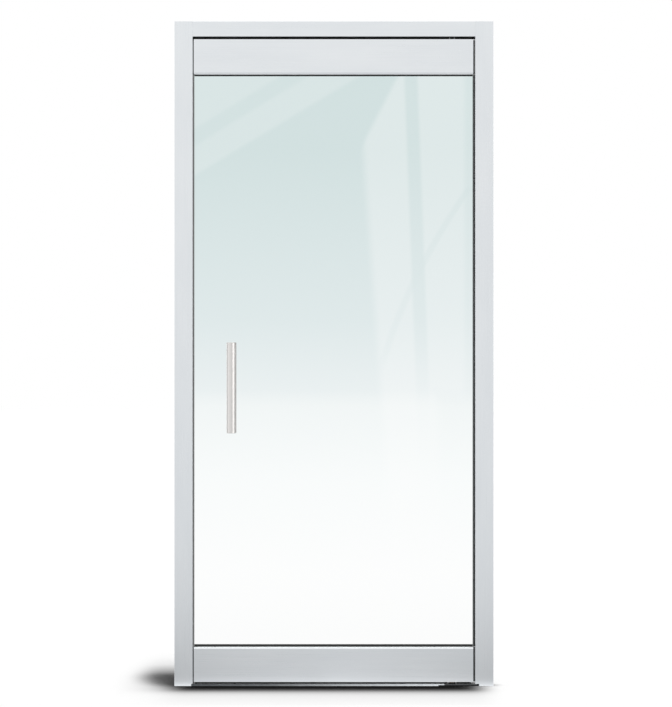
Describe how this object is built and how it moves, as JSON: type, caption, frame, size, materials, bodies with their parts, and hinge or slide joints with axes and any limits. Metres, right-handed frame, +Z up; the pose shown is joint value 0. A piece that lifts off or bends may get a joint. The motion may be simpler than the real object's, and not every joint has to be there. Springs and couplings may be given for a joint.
{
  "type": "glass door",
  "caption": "Framed all-glass pivot door: clear toughened leaf with full-width top and bottom rails, vertical bar pulls and a slim aluminium frame with threshold.",
  "frame": {"origin": "on the floor, under the middle of the frame", "axes": "+X from the free edge to the pivot edge, +Y away from the viewer, +Z up"},
  "size_m": [1.056, 0.142, 2.2],
  "materials": {
    "frame_aluminium": "satin silver anodised",
    "rail_aluminium": "satin silver anodised",
    "inner_aluminium": "mill finish",
    "clear_glass": "clear toughened, polished edges",
    "pull_steel": "satin ground",
    "pivot_steel": "ground",
    "blackened_steel": "ground, black oxide",
    "zinc_screws": "zinc plated",
    "bronze": "turned bearing bronze",
    "black_rubber": "extruded",
    "pile": "woven pile",
    "nylon": "moulded nylon"
  },
  "bodies": {
    "frame": {"strike_jamb": "frame_aluminium", "pivot_jamb": "frame_aluminium", "header": "frame_aluminium", "header_screws": "zinc_screws", "strike_jamb_pile": "pile", "pivot_jamb_pile": "pile", "header_pile": "pile", "threshold": "frame_aluminium", "strike_cleat": "inner_aluminium", "pivot_cleat": "inner_aluminium", "cleat_screws": "zinc_screws", "threshold_screws": "zinc_screws", "lap_screws": "zinc_screws", "top_pivot_plate": "pivot_steel", "top_pivot_pin": "blackened_steel", "top_pivot_screws": "zinc_screws", "floor_pivot_plate": "blackened_steel", "floor_pivot_spindle": "blackened_steel", "thrust_washer": "nylon"},
    "leaf": {"bottom_rail_channel": "inner_aluminium", "bottom_rail_front_cover": "rail_aluminium", "bottom_rail_back_cover": "rail_aluminium", "bottom_front_gasket": "black_rubber", "bottom_back_gasket": "black_rubber", "bottom_rail_free_end_cap": "rail_aluminium", "bottom_rail_pivot_end_cap": "rail_aluminium", "bottom_clamp_strip": "inner_aluminium", "bottom_clamp_screws": "zinc_screws", "bottom_block_screws": "zinc_screws", "bottom_pivot_block": "pivot_steel", "bottom_pivot_bush": "bronze", "top_rail_channel": "inner_aluminium", "top_rail_front_cover": "rail_aluminium", "top_rail_back_cover": "rail_aluminium", "top_front_gasket": "black_rubber", "top_back_gasket": "black_rubber", "top_rail_free_end_cap": "rail_aluminium", "top_rail_pivot_end_cap": "rail_aluminium", "top_clamp_strip": "inner_aluminium", "top_clamp_screws": "zinc_screws", "top_block_screws": "zinc_screws", "top_pivot_block": "pivot_steel", "top_pivot_bush": "bronze", "end_cap_screws": "zinc_screws", "top_rail_filler": "rail_aluminium", "sweep_carrier": "inner_aluminium", "sweep_brush": "pile", "glass_pane": "clear_glass", "free_setting_block": "nylon", "pivot_setting_block": "nylon", "front_pull_bar": "pull_steel", "front_pull_lower_post": "pull_steel", "front_pull_upper_post": "pull_steel", "back_pull_bar": "pull_steel", "back_pull_lower_post": "pull_steel", "back_pull_upper_post": "pull_steel", "pull_end_plugs": "pull_steel", "pull_through_bolts": "pivot_steel", "pull_glass_bushes": "nylon", "pull_grub_screws": "zinc_screws"}
  },
  "joints": [
    {"name": "leaf_swing", "type": "hinge", "parent": "frame", "child": "leaf", "pos_m": [0.3915, 0, 0], "axis": [0, 0, 1], "range_deg": [-90, 90]}
  ]
}
